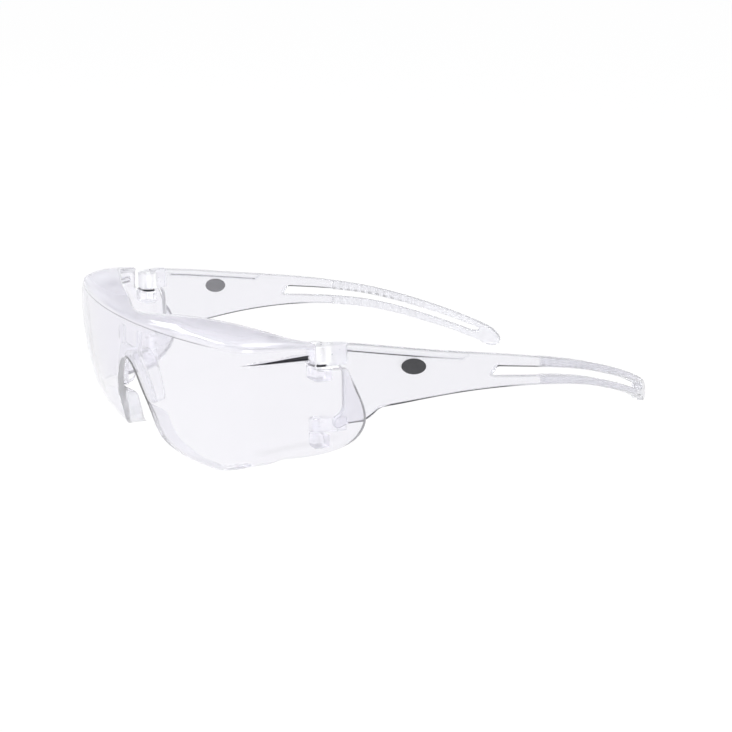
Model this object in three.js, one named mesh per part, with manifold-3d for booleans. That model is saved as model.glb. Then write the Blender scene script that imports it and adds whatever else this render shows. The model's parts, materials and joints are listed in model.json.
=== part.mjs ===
// Clear over-the-glasses safety spectacles, in millimetres, +Z up.
// The wearer looks along -Y and the wearer's left is +X. The spectacles stand on the two flats
// of the lens' lower rim and on the two temple tips.

import * as THREE from 'three';
import { mergeVertices } from 'three/addons/utils/BufferGeometryUtils.js';
import Module from 'manifold-3d';

const wasm = await Module();
wasm.setup();

// ---- Driving dimensions ----

const WALL = 2.0; // thickness of the moulded lens, brow and side shields
const BELOW_FLOOR = -3; // the wall is made longer than this and trimmed to its outline
const GAP = 0.3; // clearance between neighbouring pieces
const BROW_HEIGHT = 45; // where the lens turns over into the brow ledge
const WALL_TOP_Z = BROW_HEIGHT - 0.6; // the wall stops inside the brow ledge
const LENS_FLAT_HEIGHT = 36; // height at which the lens stands furthest forward
const LENS_RECEDE = 1 / 180; // the lens leans back by this times the height difference squared
const RIM_ROLL_HEIGHT = 7; // below this the lower rim of the lens rolls rearward
const RIM_ROLL = 0.05;
const LIP_REACH = 4.6; // the lip behind the nasal side and the lower rim
const LIP_ROOT = 0.6; // how far the lip is sunk into the wall it stands on
const LIP_TOP_Z = 25;
const SIDE_NARROWING = 4e-5; // the front narrows towards the bottom
const SHIELD_CURL_HEIGHT = 14; // below this the side shield curls inward
const SHIELD_CURL = 0.09;
const SHIELD_START_Y = 2; // the curl grows from nothing between these two stations
const SHIELD_FULL_Y = 12;
const LENS_END_Y = -4.6; // the lens ends and the corner into the side shield begins
const LENS_FADE_Y = 20; // the lean of the lens has died out here

const HINGE_X = 61.5; // vertical hinge axes at +-HINGE_X
const HINGE_Y = 22.5;
const PIN_RADIUS = 1.0;
const PIN_BORE_RADIUS = 1.15;
const UPPER_BARREL_RADIUS = 2.9;
const LOWER_BARREL_RADIUS = 2.4;
const UPPER_BRACKET = { bottom: 33.2, top: 37.1 }; // on the front, under the temple knuckle
const UPPER_KNUCKLE = { bottom: 37.5, top: 44.2 }; // on the temple, level with the brow
const LOWER_BRACKET = { bottom: 11.2, top: 15.2 };
const LOWER_KNUCKLE = { bottom: 15.6, top: 20.0 };
const BROW_END_Y = 19.2; // the brow ledge stops just ahead of the knuckle

const BRIDGE_THICKNESS = 1.6; // plate of the nose bridge, behind the lens
const CLIP_HALF_WIDTH = 8.2; // the plate ends upward in two prongs
const CLIP_TOP_Z = 41;
const PRONG_INSIDE = 4.4;
const PRONG_FOOT_Z = 35.2;
const SADDLE_FRONT_Y = -11.4;
const SADDLE_REACH = 6;
const SADDLE_THICKNESS = 1.4;
const PAD_EXTRA_REACH = -2.6;
const PAD_FLARE = 1.6;

const TEMPLE_THICKNESS = 2.4;
const BEAD_HEIGHT = 0.6; // raised bead along the top edge of the temple
const GRIP_THICKNESS = 1.1;
const GRIP_START_Y = 104; // the ribbed grip covers the temple from here to its tip
const GRIP_RIB_PITCH = 3.0;
const GRIP_RIBS_END_Y = 141;
const GRIP_GROOVE_WIDTH = 1.2;
const GRIP_GROOVE_DEPTH = 0.5;
const MARK_LENGTH = 8.8;
const MARK_HEIGHT = 5.2;
const MARK_THICKNESS = 0.3;
const MARK_CENTRE = { y: 53.8, z: 34.1 };
const MARK_TILT = -0.18;

const ROUND_SIDES = 16;
const WALL_STEPS = 46;
const TEMPLE_STEPS = 26;
const CURVE_STEPS = 4;

// ---- Outlines, each with only the points that its shape needs ----

const mirrorPoints = (points) => points.map(([a, ...rest]) => [-a, ...rest]).reverse();

// Outer plan line of the front for x >= 0, from the middle of the lens to behind the shield.
const FRONT_PLAN = [
  [0, -15], [20, -13.9], [40, -10.5], [54, -6.8], [60.5, -4.1], [64.1, 1.2],
  [66.0, 8], [68.6, 18], [70.6, 28], [72.0, 38], [72.8, 44],
];

// Rear edge of the brow ledge for x >= 0. It rises over each eye and dips over the nose.
const BROW_REAR = [
  [0, -9.5, 46.4], [11, -7, 47.4], [24, -3.3, 48.9], [33, -0.6, 49.5], [41, 2.7, 49.5],
  [50, 6.2, 49.1], [57, 9.6, 48.3], [62, 14, 46.9], [64.6, BROW_END_Y, 45.5],
];

// Lower outline of the lens for x >= 0: nose arch, nasal side, lower rim.
const NOSE_ARCH = [[4.5, 28.6], [9, 21.8], [12.2, 14.6], [13.4, 8.4], [18, 3.1], [26, 0]];
const LOWER_RIM = [[46, 1.8], [54, 4.4], [60, 6.6]];
const LIP_EDGE = [
  [13.2, 17], [13.9, 14.6], [15.1, 9], [19.2, 4.4], [26.4, 1.5],
  [38, 1.5], [46, 3.3], [54, 5.9], [60, 8.3],
];
const NOSE_ARCH_TOP = 31;
const RIM_FLAT_END_X = 38;
const SHIELD_LOW_Z = 7.7;

// Rounded rear end of the side shield, from its lower edge to its top edge, as (y, z).
const SHIELD_REAR = [
  [12, 7.4], [20, 7.7], [27.5, 9.6], [32.8, 13], [35.6, 17.4],
  [35.4, 22.5], [32.6, 29.5], [30.2, 35.2],
];

// Plan line of the middle of the temple, as (x, y).
const TEMPLE_PLAN = [
  [63.8, 17], [65.0, 26], [66.2, 34], [67.6, 42], [69.2, 54], [70.4, 68], [71.1, 82],
  [71.2, 94], [70.4, 107], [68.0, 122], [63.0, 138], [57.6, 150], [51.6, 161], [42.8, 171],
];

// Side outline of the temple as (y, z): the top edge rearward, then the bottom edge forward.
const TEMPLE_TOP = [
  [38.8, 42.6], [60.9, 38.4], [86.4, 33.8], [107, 29.5],
  [122, 25.7], [139.2, 19.9], [153, 14.2], [162.6, 9.4],
];
const TEMPLE_BOTTOM = [
  [153.4, 6.6], [142.3, 10.9], [127, 16.1], [112, 19.5], [99.7, 21.3],
  [86, 22.5], [72, 22.9], [56, 22.4], [45.5, 21.8],
];
const SLOT_TOP = [[104.3, 26.7], [122.6, 22.6], [139.5, 17], [155, 10.9], [160, 8.6]];
const SLOT_BOTTOM = [[154, 8.7], [140, 14.4], [127, 18.9], [113, 22.3], [99.6, 24.5]];

// Seat of the nose bridge for x >= 0: its edge follows the nose arch.
const BRIDGE_EDGE = [[4.9, 29.4], [9.6, 22.6], [11.9, 18]];
const BRIDGE_SEAT = [[14.9, 18.6], [13.6, 23.5], [10.5, 29.5], [8.2, 33]];
const BRIDGE_ARCH = [...mirrorPoints(BRIDGE_EDGE), [0, NOSE_ARCH_TOP + 0.8], ...BRIDGE_EDGE];

// ---- Shape helpers ----

const point2 = ([a, b]) => new THREE.Vector2(a, b);

function smoothstep(value, from, to) {
  return THREE.MathUtils.smoothstep(value, from, to);
}

// A smooth curve through points that are given for x >= 0 and repeated for x < 0.
function symmetricCurve(halfPoints) {
  const all = [...mirrorPoints(halfPoints.slice(1)), ...halfPoints];
  const vectors = all.map(([x, y, z = 0]) => new THREE.Vector3(x, y, z));
  return new THREE.CatmullRomCurve3(vectors, false, 'centripetal');
}

function signedVolume(geometry) {
  const position = geometry.getAttribute('position');
  const index = geometry.getIndex();
  const corner = [new THREE.Vector3(), new THREE.Vector3(), new THREE.Vector3()];
  let volume = 0;
  for (let i = 0; i < index.count; i += 3) {
    corner.forEach((vector, k) => vector.fromBufferAttribute(position, index.getX(i + k)));
    volume += corner[0].dot(corner[1].cross(corner[2])) / 6;
  }
  return volume;
}

function flipFaces(geometry) {
  const index = geometry.getIndex();
  for (let i = 0; i < index.count; i += 3) {
    const second = index.getX(i + 1);
    index.setX(i + 1, index.getX(i + 2));
    index.setX(i + 2, second);
  }
}

// Joins shared corners and makes every face look outward.
function closed(geometry) {
  const bare = geometry.clone();
  bare.deleteAttribute('normal');
  bare.deleteAttribute('uv');
  const merged = mergeVertices(bare, 1e-4);
  if (signedVolume(merged) < 0) flipFaces(merged);
  return merged;
}

function toSolid(geometry) {
  const merged = closed(geometry);
  return new wasm.Manifold(new wasm.Mesh({
    numProp: 3,
    vertProperties: new Float32Array(merged.getAttribute('position').array),
    triVerts: new Uint32Array(merged.getIndex().array),
  }));
}

function toGeometry(solid) {
  const mesh = solid.getMesh();
  const geometry = new THREE.BufferGeometry();
  geometry.setAttribute('position', new THREE.BufferAttribute(new Float32Array(mesh.vertProperties), 3));
  geometry.setIndex(new THREE.BufferAttribute(new Uint32Array(mesh.triVerts), 1));
  geometry.computeVertexNormals();
  return geometry;
}

const join = (first, ...others) => others.reduce((whole, solid) => whole.add(solid), first);
const cut = (first, ...others) => others.reduce((whole, solid) => whole.subtract(solid), first);

// A box of nu x nv cells whose points are moved by place(u, v, w), each from 0 to 1.
function bentBlock(nu, nv, place) {
  const geometry = new THREE.BoxGeometry(1, 1, 1, nu, nv, 1);
  const position = geometry.getAttribute('position');
  for (let i = 0; i < position.count; i += 1) {
    const moved = place(position.getX(i) + 0.5, position.getY(i) + 0.5, position.getZ(i) + 0.5);
    position.setXYZ(i, moved.x, moved.y, moved.z);
  }
  return toSolid(geometry);
}

function extrusion(shape, depth) {
  return new THREE.ExtrudeGeometry(shape, { depth, bevelEnabled: false, curveSegments: CURVE_STEPS });
}

// A profile drawn as (x, z), extruded along Y between two stations.
function extrudeAlongY(shape, from, to) {
  const geometry = extrusion(shape, to - from);
  geometry.rotateX(Math.PI / 2);
  geometry.translate(0, to, 0);
  return toSolid(geometry);
}

// A profile drawn as (y, z), extruded along X between two stations.
function extrudeAlongX(shape, from, to) {
  const geometry = extrusion(shape, to - from);
  geometry.applyMatrix4(new THREE.Matrix4().makeBasis(
    new THREE.Vector3(0, 1, 0),
    new THREE.Vector3(0, 0, 1),
    new THREE.Vector3(1, 0, 0),
  ));
  geometry.translate(from, 0, 0);
  return toSolid(geometry);
}

// A profile drawn as (x, y), extruded upward between two heights.
function extrudeUp(shape, bottom, top) {
  const geometry = extrusion(shape, top - bottom);
  geometry.translate(0, 0, bottom);
  return toSolid(geometry);
}

function block(from, to) {
  const size = from.map((low, k) => to[k] - low);
  const geometry = new THREE.BoxGeometry(...size);
  geometry.translate(...from.map((low, k) => low + size[k] / 2));
  return toSolid(geometry);
}

// An upright round post on the left hinge axis.
function hingePost(radius, bottom, top) {
  const geometry = new THREE.CylinderGeometry(radius, radius, top - bottom, ROUND_SIDES);
  geometry.rotateX(Math.PI / 2);
  geometry.translate(HINGE_X, HINGE_Y, (top + bottom) / 2);
  return toSolid(geometry);
}

function mirrored(geometry) {
  const copy = geometry.clone();
  copy.scale(-1, 1, 1);
  flipFaces(copy);
  copy.computeVertexNormals();
  return copy;
}

function polygon(points) {
  return new THREE.Shape(points.map(point2));
}

// ---- Front shield: lens, brow ledge and side shields in one moulding ----

const frontPlan = symmetricCurve(FRONT_PLAN);
const browRear = symmetricCurve(BROW_REAR);

// Leans, rolls and narrows a point of the upright plan wall into the real front.
function shapeFront(x, y, z) {
  const lensShare = 1 - smoothstep(y, -15, LENS_FADE_Y);
  const shieldShare = smoothstep(y, SHIELD_START_Y, SHIELD_FULL_Y);
  const rise = z - LENS_FLAT_HEIGHT;
  const roll = RIM_ROLL * Math.max(0, RIM_ROLL_HEIGHT - z) ** 2;
  const curl = SHIELD_CURL * Math.max(0, SHIELD_CURL_HEIGHT - z) ** 2 * shieldShare;
  const narrowed = x * (1 - SIDE_NARROWING * rise ** 2);
  return new THREE.Vector3(
    narrowed - Math.sign(x) * curl,
    y + (LENS_RECEDE * rise ** 2 + roll) * lensShare,
    z,
  );
}

// A point on the front's wall: t runs round the plan, depth is measured inward from outside.
function frontPoint(t, depth, z) {
  const centre = frontPlan.getPoint(t);
  const along = frontPlan.getTangent(t);
  return shapeFront(centre.x - along.y * depth, centre.y + along.x * depth, z);
}

function frontWall(outside, inside, bottom, top, end = 1) {
  return bentBlock(WALL_STEPS, 7, (u, v, w) => frontPoint(
    THREE.MathUtils.lerp(1 - end, end, u),
    THREE.MathUtils.lerp(inside, outside, w),
    THREE.MathUtils.lerp(bottom, top, v),
  ));
}

// The stretch of the plan line that carries the brow ledge, found by walking the curve.
function planParameterAt(y) {
  let low = 0.5;
  let high = 1;
  for (let step = 0; step < 30; step += 1) {
    const middle = (low + high) / 2;
    if (frontPlan.getPoint(middle).y < y) low = middle;
    else high = middle;
  }
  return low;
}

const browEnd = planParameterAt(BROW_END_Y);

// A section of the brow: it leaves the lens steeply and flattens towards the rear edge.
function browPoint(u, v, depth) {
  const front = frontPoint(THREE.MathUtils.lerp(1 - browEnd, browEnd, u), 0, BROW_HEIGHT);
  const rear = browRear.getPoint(u);
  const knee = front.clone().lerp(rear, 0.14);
  knee.z = front.z + 0.8 * (rear.z - front.z) + 0.6;
  const section = new THREE.QuadraticBezierCurve3(front, knee, rear);
  const place = section.getPoint(v);
  const along = section.getTangent(v);
  const level = Math.hypot(along.x, along.y);
  const sink = new THREE.Vector3(along.x / level, along.y / level, 0).multiplyScalar(along.z * depth);
  sink.z = -level * depth;
  return place.add(sink);
}

function browLedge() {
  return bentBlock(WALL_STEPS, 4, (u, v, w) => browPoint(u, v, WALL * (1 - w)));
}

// A lip behind the nasal side and the lower rim of each lens: it stiffens the edge.
function rimLips() {
  const end = planParameterAt(LENS_END_Y);
  const layer = frontWall(WALL - LIP_ROOT, WALL + LIP_REACH, BELOW_FLOOR, LIP_TOP_Z, end);
  const lip = layer.intersect(extrudeAlongY(polygon([...LIP_EDGE, [60, -5], [10, -5], [10, 17]]), -40, 60));
  return [lip, toSolid(mirrored(toGeometry(lip)))];
}

function belowLens() {
  const shape = new THREE.Shape();
  shape.moveTo(-90, -20);
  shape.lineTo(-90, SHIELD_LOW_Z);
  shape.lineTo(-66, SHIELD_LOW_Z);
  shape.splineThru([...mirrorPoints(LOWER_RIM), [-RIM_FLAT_END_X, 0]].map(point2));
  shape.lineTo(-NOSE_ARCH.at(-1)[0], 0);
  const arch = [...mirrorPoints(NOSE_ARCH.slice(0, -1)), [0, NOSE_ARCH_TOP], ...NOSE_ARCH];
  shape.splineThru(arch.map(point2));
  shape.lineTo(RIM_FLAT_END_X, 0);
  shape.splineThru([...LOWER_RIM, [66, SHIELD_LOW_Z]].map(point2));
  shape.lineTo(90, SHIELD_LOW_Z);
  shape.lineTo(90, -20);
  return extrudeAlongY(shape, -40, 60);
}

function behindShield() {
  const shape = new THREE.Shape();
  shape.moveTo(6, -20);
  shape.lineTo(6, SHIELD_LOW_Z);
  shape.splineThru(SHIELD_REAR.map(point2));
  shape.lineTo(29.2, UPPER_BRACKET.top);
  shape.lineTo(BROW_END_Y, UPPER_BRACKET.top);
  shape.lineTo(BROW_END_Y, 60);
  shape.lineTo(60, 60);
  shape.lineTo(60, -20);
  return extrudeAlongX(shape, -90, 90);
}

// A tapering groove under the brow, along the top of each side shield.
function sideGrooves() {
  const wedge = polygon([[-2.8, 40.2], [17.2, 40.6], [17.2, 42.2]]);
  return frontWall(-1.5, 1.1, 36, 43).intersect(extrudeAlongX(wedge, -90, 90));
}

// One left hinge bracket: a round ear on the axis, joined to the wall of the side shield.
function hingeBracket(radius, { bottom, top }) {
  const beyondWall = HINGE_X + 9;
  const ear = join(
    hingePost(radius, bottom, top),
    block([HINGE_X, HINGE_Y - radius, bottom], [beyondWall, HINGE_Y + radius, top]),
  );
  return cut(ear, hingePost(PIN_BORE_RADIUS, bottom + 1, top + 1));
}

function frontShield() {
  const wall = frontWall(0, WALL, BELOW_FLOOR, WALL_TOP_Z);
  const shell = cut(join(wall, browLedge(), ...rimLips()), belowLens(), behindShield());
  const outside = frontWall(-8, 0.05, BELOW_FLOOR, WALL_TOP_Z);
  const brackets = [
    hingeBracket(UPPER_BARREL_RADIUS, UPPER_BRACKET),
    hingeBracket(LOWER_BARREL_RADIUS, LOWER_BRACKET),
  ].map((bracket) => cut(bracket, outside));
  const bothSides = brackets.flatMap((bracket) => [bracket, toSolid(mirrored(toGeometry(bracket)))]);
  return toGeometry(cut(join(shell, ...bothSides), sideGrooves()));
}

// ---- Nose bridge: a saddle that seats behind the lens, round the nose arch ----

function noseBridge() {
  const [seatFoot, ...seatSide] = BRIDGE_SEAT;
  const [archFoot, ...arch] = BRIDGE_ARCH;
  const outline = new THREE.Shape();
  outline.moveTo(...seatFoot);
  outline.splineThru(seatSide.map(point2));
  outline.lineTo(CLIP_HALF_WIDTH, CLIP_TOP_Z);
  outline.lineTo(-CLIP_HALF_WIDTH, CLIP_TOP_Z);
  outline.splineThru(mirrorPoints(BRIDGE_SEAT).map(point2));
  outline.lineTo(...archFoot);
  outline.splineThru(arch.map(point2));
  const betweenProngs = block([-PRONG_INSIDE, -20, PRONG_FOOT_Z], [PRONG_INSIDE, 20, CLIP_TOP_Z + 1]);
  const seat = frontWall(WALL + GAP, WALL + GAP + BRIDGE_THICKNESS, 5, 43);
  const plate = cut(seat.intersect(extrudeAlongY(outline, -30, 20)), betweenProngs);
  return toGeometry(join(plate, saddle()));
}

// The saddle reaches rearward from the plate's arch and opens into the pads that rest on the nose.
function saddle() {
  const points = BRIDGE_ARCH.map(([x, z]) => new THREE.Vector3(x, 0, z));
  const line = new THREE.CatmullRomCurve3(points, false, 'centripetal');
  return bentBlock(20, 3, (u, v, w) => {
    const place = line.getPoint(u);
    const along = line.getTangent(u);
    const down = Math.abs(2 * u - 1);
    const front = SADDLE_FRONT_Y + LENS_RECEDE * (place.z - LENS_FLAT_HEIGHT) ** 2;
    const reach = SADDLE_REACH + PAD_EXTRA_REACH * down ** 2;
    const outward = SADDLE_THICKNESS * w + PAD_FLARE * down * v;
    return new THREE.Vector3(place.x - along.z * outward, front + reach * v, place.z + along.x * outward);
  });
}

// ---- Temple ----

const templePlan = new THREE.CatmullRomCurve3(
  TEMPLE_PLAN.map(([x, y]) => new THREE.Vector3(x, y, 0)),
  false,
  'centripetal',
);

// A slab that follows the temple's plan line, between two offsets from its middle.
function templeSlab(inner, outer) {
  return bentBlock(TEMPLE_STEPS, 1, (u, v, w) => {
    const place = templePlan.getPoint(u);
    const along = templePlan.getTangent(u);
    const side = THREE.MathUtils.lerp(inner, outer, w);
    return new THREE.Vector3(
      place.x + along.y * side,
      place.y - along.x * side,
      THREE.MathUtils.lerp(-5, 50, v),
    );
  });
}

function templeOutline() {
  const shape = new THREE.Shape();
  shape.moveTo(30, 34);
  shape.quadraticCurveTo(29.8, 37.3, 26.5, UPPER_KNUCKLE.bottom);
  shape.lineTo(26.5, UPPER_KNUCKLE.top);
  shape.lineTo(29, UPPER_KNUCKLE.top);
  shape.splineThru(TEMPLE_TOP.map(point2));
  shape.quadraticCurveTo(168.4, 6, 169.4, 3);
  shape.quadraticCurveTo(169.6, 0, 168, 0);
  shape.lineTo(165, 0);
  shape.quadraticCurveTo(162.4, 2.8, TEMPLE_BOTTOM[0][0], TEMPLE_BOTTOM[0][1]);
  shape.splineThru(TEMPLE_BOTTOM.slice(1).map(point2));
  shape.quadraticCurveTo(42.2, 21.8, 40.6, 20.4);
  shape.quadraticCurveTo(38.8, 18.2, 36.8, 18);
  shape.lineTo(31, 17.9);
  shape.lineTo(26.5, LOWER_KNUCKLE.bottom);
  shape.lineTo(26.5, LOWER_KNUCKLE.top);
  shape.quadraticCurveTo(30, 20.8, 30, 24.5);
  return shape;
}

function slotOutline() {
  const shape = new THREE.Shape();
  shape.moveTo(83, 26.9);
  shape.lineTo(85.4, 29.8);
  shape.splineThru(SLOT_TOP.map(point2));
  shape.quadraticCurveTo(163.2, 7, 162.6, 5.8);
  shape.quadraticCurveTo(161, 5.6, SLOT_BOTTOM[0][0], SLOT_BOTTOM[0][1]);
  shape.splineThru(SLOT_BOTTOM.slice(1).map(point2));
  return shape;
}

function slottedOutline() {
  return cut(extrudeAlongX(templeOutline(), 30, 90), extrudeAlongX(slotOutline(), 30, 90));
}

function upperKnuckle() {
  const { bottom, top } = UPPER_KNUCKLE;
  const arm = polygon([
    [HINGE_X - 0.5, HINGE_Y], [HINGE_X, HINGE_Y - UPPER_BARREL_RADIUS + 0.6], [65.6, 20.2], [67.2, 21.2],
    [67.8, 28], [67.5, 31.4], [65.0, 31.4], [62.6, 27.4],
  ]);
  return join(extrudeUp(arm, bottom, top), hingePost(UPPER_BARREL_RADIUS, bottom, top));
}

function lowerKnuckle() {
  const { bottom, top } = LOWER_KNUCKLE;
  const arm = polygon([
    [HINGE_X - 2, HINGE_Y + 0.6], [HINGE_X + 2, HINGE_Y - 0.6], [65.3, 28], [65.8, 31], [63.7, 31], [62, 28],
  ]);
  return join(extrudeUp(arm, bottom, top), hingePost(LOWER_BARREL_RADIUS, bottom, top));
}

// A raised bead along the front half of the temple's top edge.
function topBead() {
  const band = polygon([[34, 43.2], [34, 40.9], [71.5, 34.3], [74.5, 35.9], [60.9, 38.3], [38.8, 42.5]]);
  return templeSlab(0, TEMPLE_THICKNESS / 2 + BEAD_HEIGHT).intersect(extrudeAlongX(band, 40, 90));
}

function temple() {
  const half = TEMPLE_THICKNESS / 2;
  const blade = templeSlab(-half, half).intersect(slottedOutline());
  const whole = join(blade, topBead(), upperKnuckle(), lowerKnuckle());
  return toGeometry(cut(whole, hingePost(PIN_BORE_RADIUS, 10, 50)));
}

// ---- Ribbed grip on the inner face of the temple's slotted end ----

function templeGrip() {
  const outer = -TEMPLE_THICKNESS / 2 - GAP;
  const inner = outer - GRIP_THICKNESS;
  const layer = templeSlab(inner, outer).intersect(slottedOutline());
  const ahead = block([30, 0, -10], [90, GRIP_START_Y, 60]);
  const floor = block([30, 0, -10], [90, 200, 0.6]);
  const face = templeSlab(inner - 1, inner + GRIP_GROOVE_DEPTH);
  const grooves = [];
  for (let y = GRIP_START_Y + GRIP_RIB_PITCH; y < GRIP_RIBS_END_Y; y += GRIP_RIB_PITCH) {
    grooves.push(block([30, y, -10], [90, y + GRIP_GROOVE_WIDTH, 60]).intersect(face));
  }
  return toGeometry(cut(layer, ahead, floor, ...grooves));
}

// ---- Printed mark: a plain oval on the outer face of the temple ----

function printedMark() {
  const inner = TEMPLE_THICKNESS / 2 + GAP;
  const { y, z } = MARK_CENTRE;
  const oval = new THREE.Shape();
  oval.absellipse(y, z, MARK_LENGTH / 2, MARK_HEIGHT / 2, 0, Math.PI * 2, false, MARK_TILT);
  return toGeometry(templeSlab(inner, inner + MARK_THICKNESS).intersect(extrudeAlongX(oval, 40, 90)));
}

// ---- Hinge pins ----

function hingePin(bottom, top) {
  return toGeometry(hingePost(PIN_RADIUS, bottom, top));
}

// ---- Materials and assembly ----

const clearPlastic = { color: 0xe9eef2, roughness: 0.08, metalness: 0, transparent: true, opacity: 0.45 };
const softPlastic = { color: 0xdfe4e8, roughness: 0.4, metalness: 0, transparent: true, opacity: 0.6 };
const pinPlastic = { color: 0xf6f8fa, roughness: 0.3, metalness: 0 };
const darkInk = { color: 0x2c2e31, roughness: 0.5, metalness: 0 };

const assembly = new THREE.Group();

function addPiece(name, geometry, look) {
  const piece = new THREE.Mesh(geometry, new THREE.MeshStandardMaterial(look));
  piece.name = name;
  assembly.add(piece);
}

function addPair(name, geometry, look) {
  addPiece(`${name}_left`, geometry, look);
  addPiece(`${name}_right`, mirrored(geometry), look);
}

addPiece('front_shield', frontShield(), clearPlastic);
addPiece('nose_bridge', noseBridge(), softPlastic);
addPair('temple', temple(), clearPlastic);
addPair('temple_grip', templeGrip(), softPlastic);
addPair('printed_mark', printedMark(), darkInk);
addPair('upper_hinge_pin', hingePin(UPPER_BRACKET.bottom + 1 + GAP, UPPER_KNUCKLE.top - 0.6), pinPlastic);
addPair('lower_hinge_pin', hingePin(LOWER_BRACKET.bottom + 1 + GAP, LOWER_KNUCKLE.top - 0.4), pinPlastic);

// The origin is under the middle of the whole object, at the level that it stands on.
const bounds = new THREE.Box3().setFromObject(assembly);
const group = new THREE.Group();
group.add(assembly);
assembly.position.y = -(bounds.min.y + bounds.max.y) / 2;

export default group;
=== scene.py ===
"""Clear over-the-glasses safety spectacles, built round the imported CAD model.

Shapes are worked out in millimetres in a working frame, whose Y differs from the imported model's
by one shift along the temples, and are turned into metres when a mesh is made.
"""

import json
import math

import bpy
import numpy as np
from mathutils import Matrix, Vector
from mathutils.geometry import delaunay_2d_cdt


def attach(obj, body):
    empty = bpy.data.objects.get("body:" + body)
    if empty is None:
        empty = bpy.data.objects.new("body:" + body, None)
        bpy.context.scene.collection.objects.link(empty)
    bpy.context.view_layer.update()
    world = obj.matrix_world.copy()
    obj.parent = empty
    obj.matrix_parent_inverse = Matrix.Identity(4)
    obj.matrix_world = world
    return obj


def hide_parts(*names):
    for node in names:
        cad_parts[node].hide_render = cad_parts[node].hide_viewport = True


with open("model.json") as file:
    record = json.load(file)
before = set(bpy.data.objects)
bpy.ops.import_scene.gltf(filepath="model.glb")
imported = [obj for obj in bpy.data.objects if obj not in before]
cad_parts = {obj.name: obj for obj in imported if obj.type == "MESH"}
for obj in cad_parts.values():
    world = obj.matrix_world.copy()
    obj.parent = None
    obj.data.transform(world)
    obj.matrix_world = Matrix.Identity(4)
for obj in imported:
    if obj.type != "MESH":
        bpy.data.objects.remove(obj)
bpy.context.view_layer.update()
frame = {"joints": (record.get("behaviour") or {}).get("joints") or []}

# ---- Driving dimensions, in millimetres ----

MM = 0.001
WALL = 2.0
GAP = 0.3
BROW_HEIGHT = 45.0
BROW_EDGE_BELOW = 2.4  # the brow's front edge is rounded from this far below its corner
BROW_EDGE_SHARE = 0.13  # to this share of the ledge's width behind it
LEDGE_SPAN = 14.0  # how far the ledge's width counts in the shell's own coordinates
LEDGE_KNEE_SHARE = 0.14  # the ledge bends this share of the way back
LEDGE_KNEE_RISE = 0.8  # having climbed this share of its height
LEDGE_KNEE_LIFT = 0.6
LENS_FLAT_HEIGHT = 36.0
LENS_RECEDE = 1 / 180
RIM_ROLL_HEIGHT = 7.0
RIM_ROLL = 0.05
SIDE_NARROWING = 4e-5
SHIELD_CURL_HEIGHT = 14.0
SHIELD_CURL = 0.09
SHIELD_START_Y = 2.0
SHIELD_FULL_Y = 12.0
SHIELD_TOP_REAR_Y = 29.2
LENS_FADE = (-15.0, 20.0)
LENS_END_X = 59.0
LIP_REACH = 4.6
LIP_THICKNESS = 1.5
LIP_TOP_Z = 16.0
LIP_FADE_Z = 2.5  # half the height over which the lip grows out of the plain edge
LIP_FADE_X = 3.0  # and half the width over which it ends beside the lens
GROOVE_Y = (-2.8, 17.2)
GROOVE_TIP_Z = 40.2
GROOVE_TOP_RISE = 2.0
GROOVE_FOOT_RISE = 0.4
GROOVE_DEPTH = 1.1
GROOVE_EDGE = 0.25  # half the width over which the groove's edges fall away

HINGE_X = 61.5
HINGE_Y = 22.5
HINGE = (HINGE_X, HINGE_Y)
UPPER_BARREL_RADIUS = 2.9
LOWER_BARREL_RADIUS = 2.4
PIN_RADIUS = 1.0
BORE_RADIUS = 1.15
UPPER_BRACKET = (33.2, 37.1)
UPPER_KNUCKLE = (37.5, 44.2)
LOWER_BRACKET = (11.2, 15.2)
LOWER_KNUCKLE = (15.6, 20.0)
PIN_FOOT = 1.3  # how far above its bracket's underside each pin starts
UPPER_PIN_SHORT = 0.6  # how far below its knuckle's top each pin ends
LOWER_PIN_SHORT = 0.4
BROW_END_Y = 19.2

TEMPLE_THICKNESS = 2.4
BEAD_HEIGHT = 0.6
GRIP_THICKNESS = 1.1
GRIP_START_Y = 104.0
RIB_PITCH = 3.0
RIB_DEPTH = 0.5
RIBS_END_Y = 141.0
RIBS_FADE = 7.0
MARK_CENTRE = (53.8, 34.1)
MARK_SIZE = (8.8, 5.2)
MARK_TILT = -0.18
MARK_THICKNESS = 0.3

BRIDGE_THICKNESS = 1.6
BRIDGE_RADIUS = 0.4
CLIP_HALF_WIDTH = 8.2
CLIP_TOP_Z = 41.0
CLIP_SHOULDER_Z = 37
PRONG_INSIDE = 4.4
PRONG_FOOT_Z = 35.2
SADDLE_FRONT_Y = -11.4
SADDLE_REACH = 6.0
SADDLE_THICKNESS = 1.4
PAD_EXTRA_REACH = -2.6
PAD_FLARE = 1.6

FRONT_PLAN = [
    (0, -14.98), (20, -13.9), (40, -10.5), (54, -6.8), (60.5, -4.1), (64.1, 1.2),
    (66.0, 8), (68.6, 18), (70.6, 28), (72.0, 38), (72.8, 44),
]
BROW_REAR = [
    (0, -9.5, 46.4), (11, -7, 47.4), (24, -3.3, 48.9), (33, -0.6, 49.5), (41, 2.7, 49.5),
    (50, 6.2, 49.1), (57, 9.6, 48.3), (62, 14, 46.9), (64.6, BROW_END_Y, 45.5),
]
NOSE_ARCH = [(0, 31), (4.5, 28.6), (9, 21.8), (12.2, 14.6), (13.4, 8.4), (18, 3.1), (26, 0)]
LOWER_RIM = [(32, 0), (38, 0), (46, 1.8), (54, 4.4), (60, 6.6)]
SHIELD_REAR = [
    (12, 7.4), (20, 7.7), (27.5, 9.6), (32.8, 13), (35.6, 17.4),
    (35.4, 22.5), (32.6, 29.5), (30.2, 35.2),
]
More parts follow.
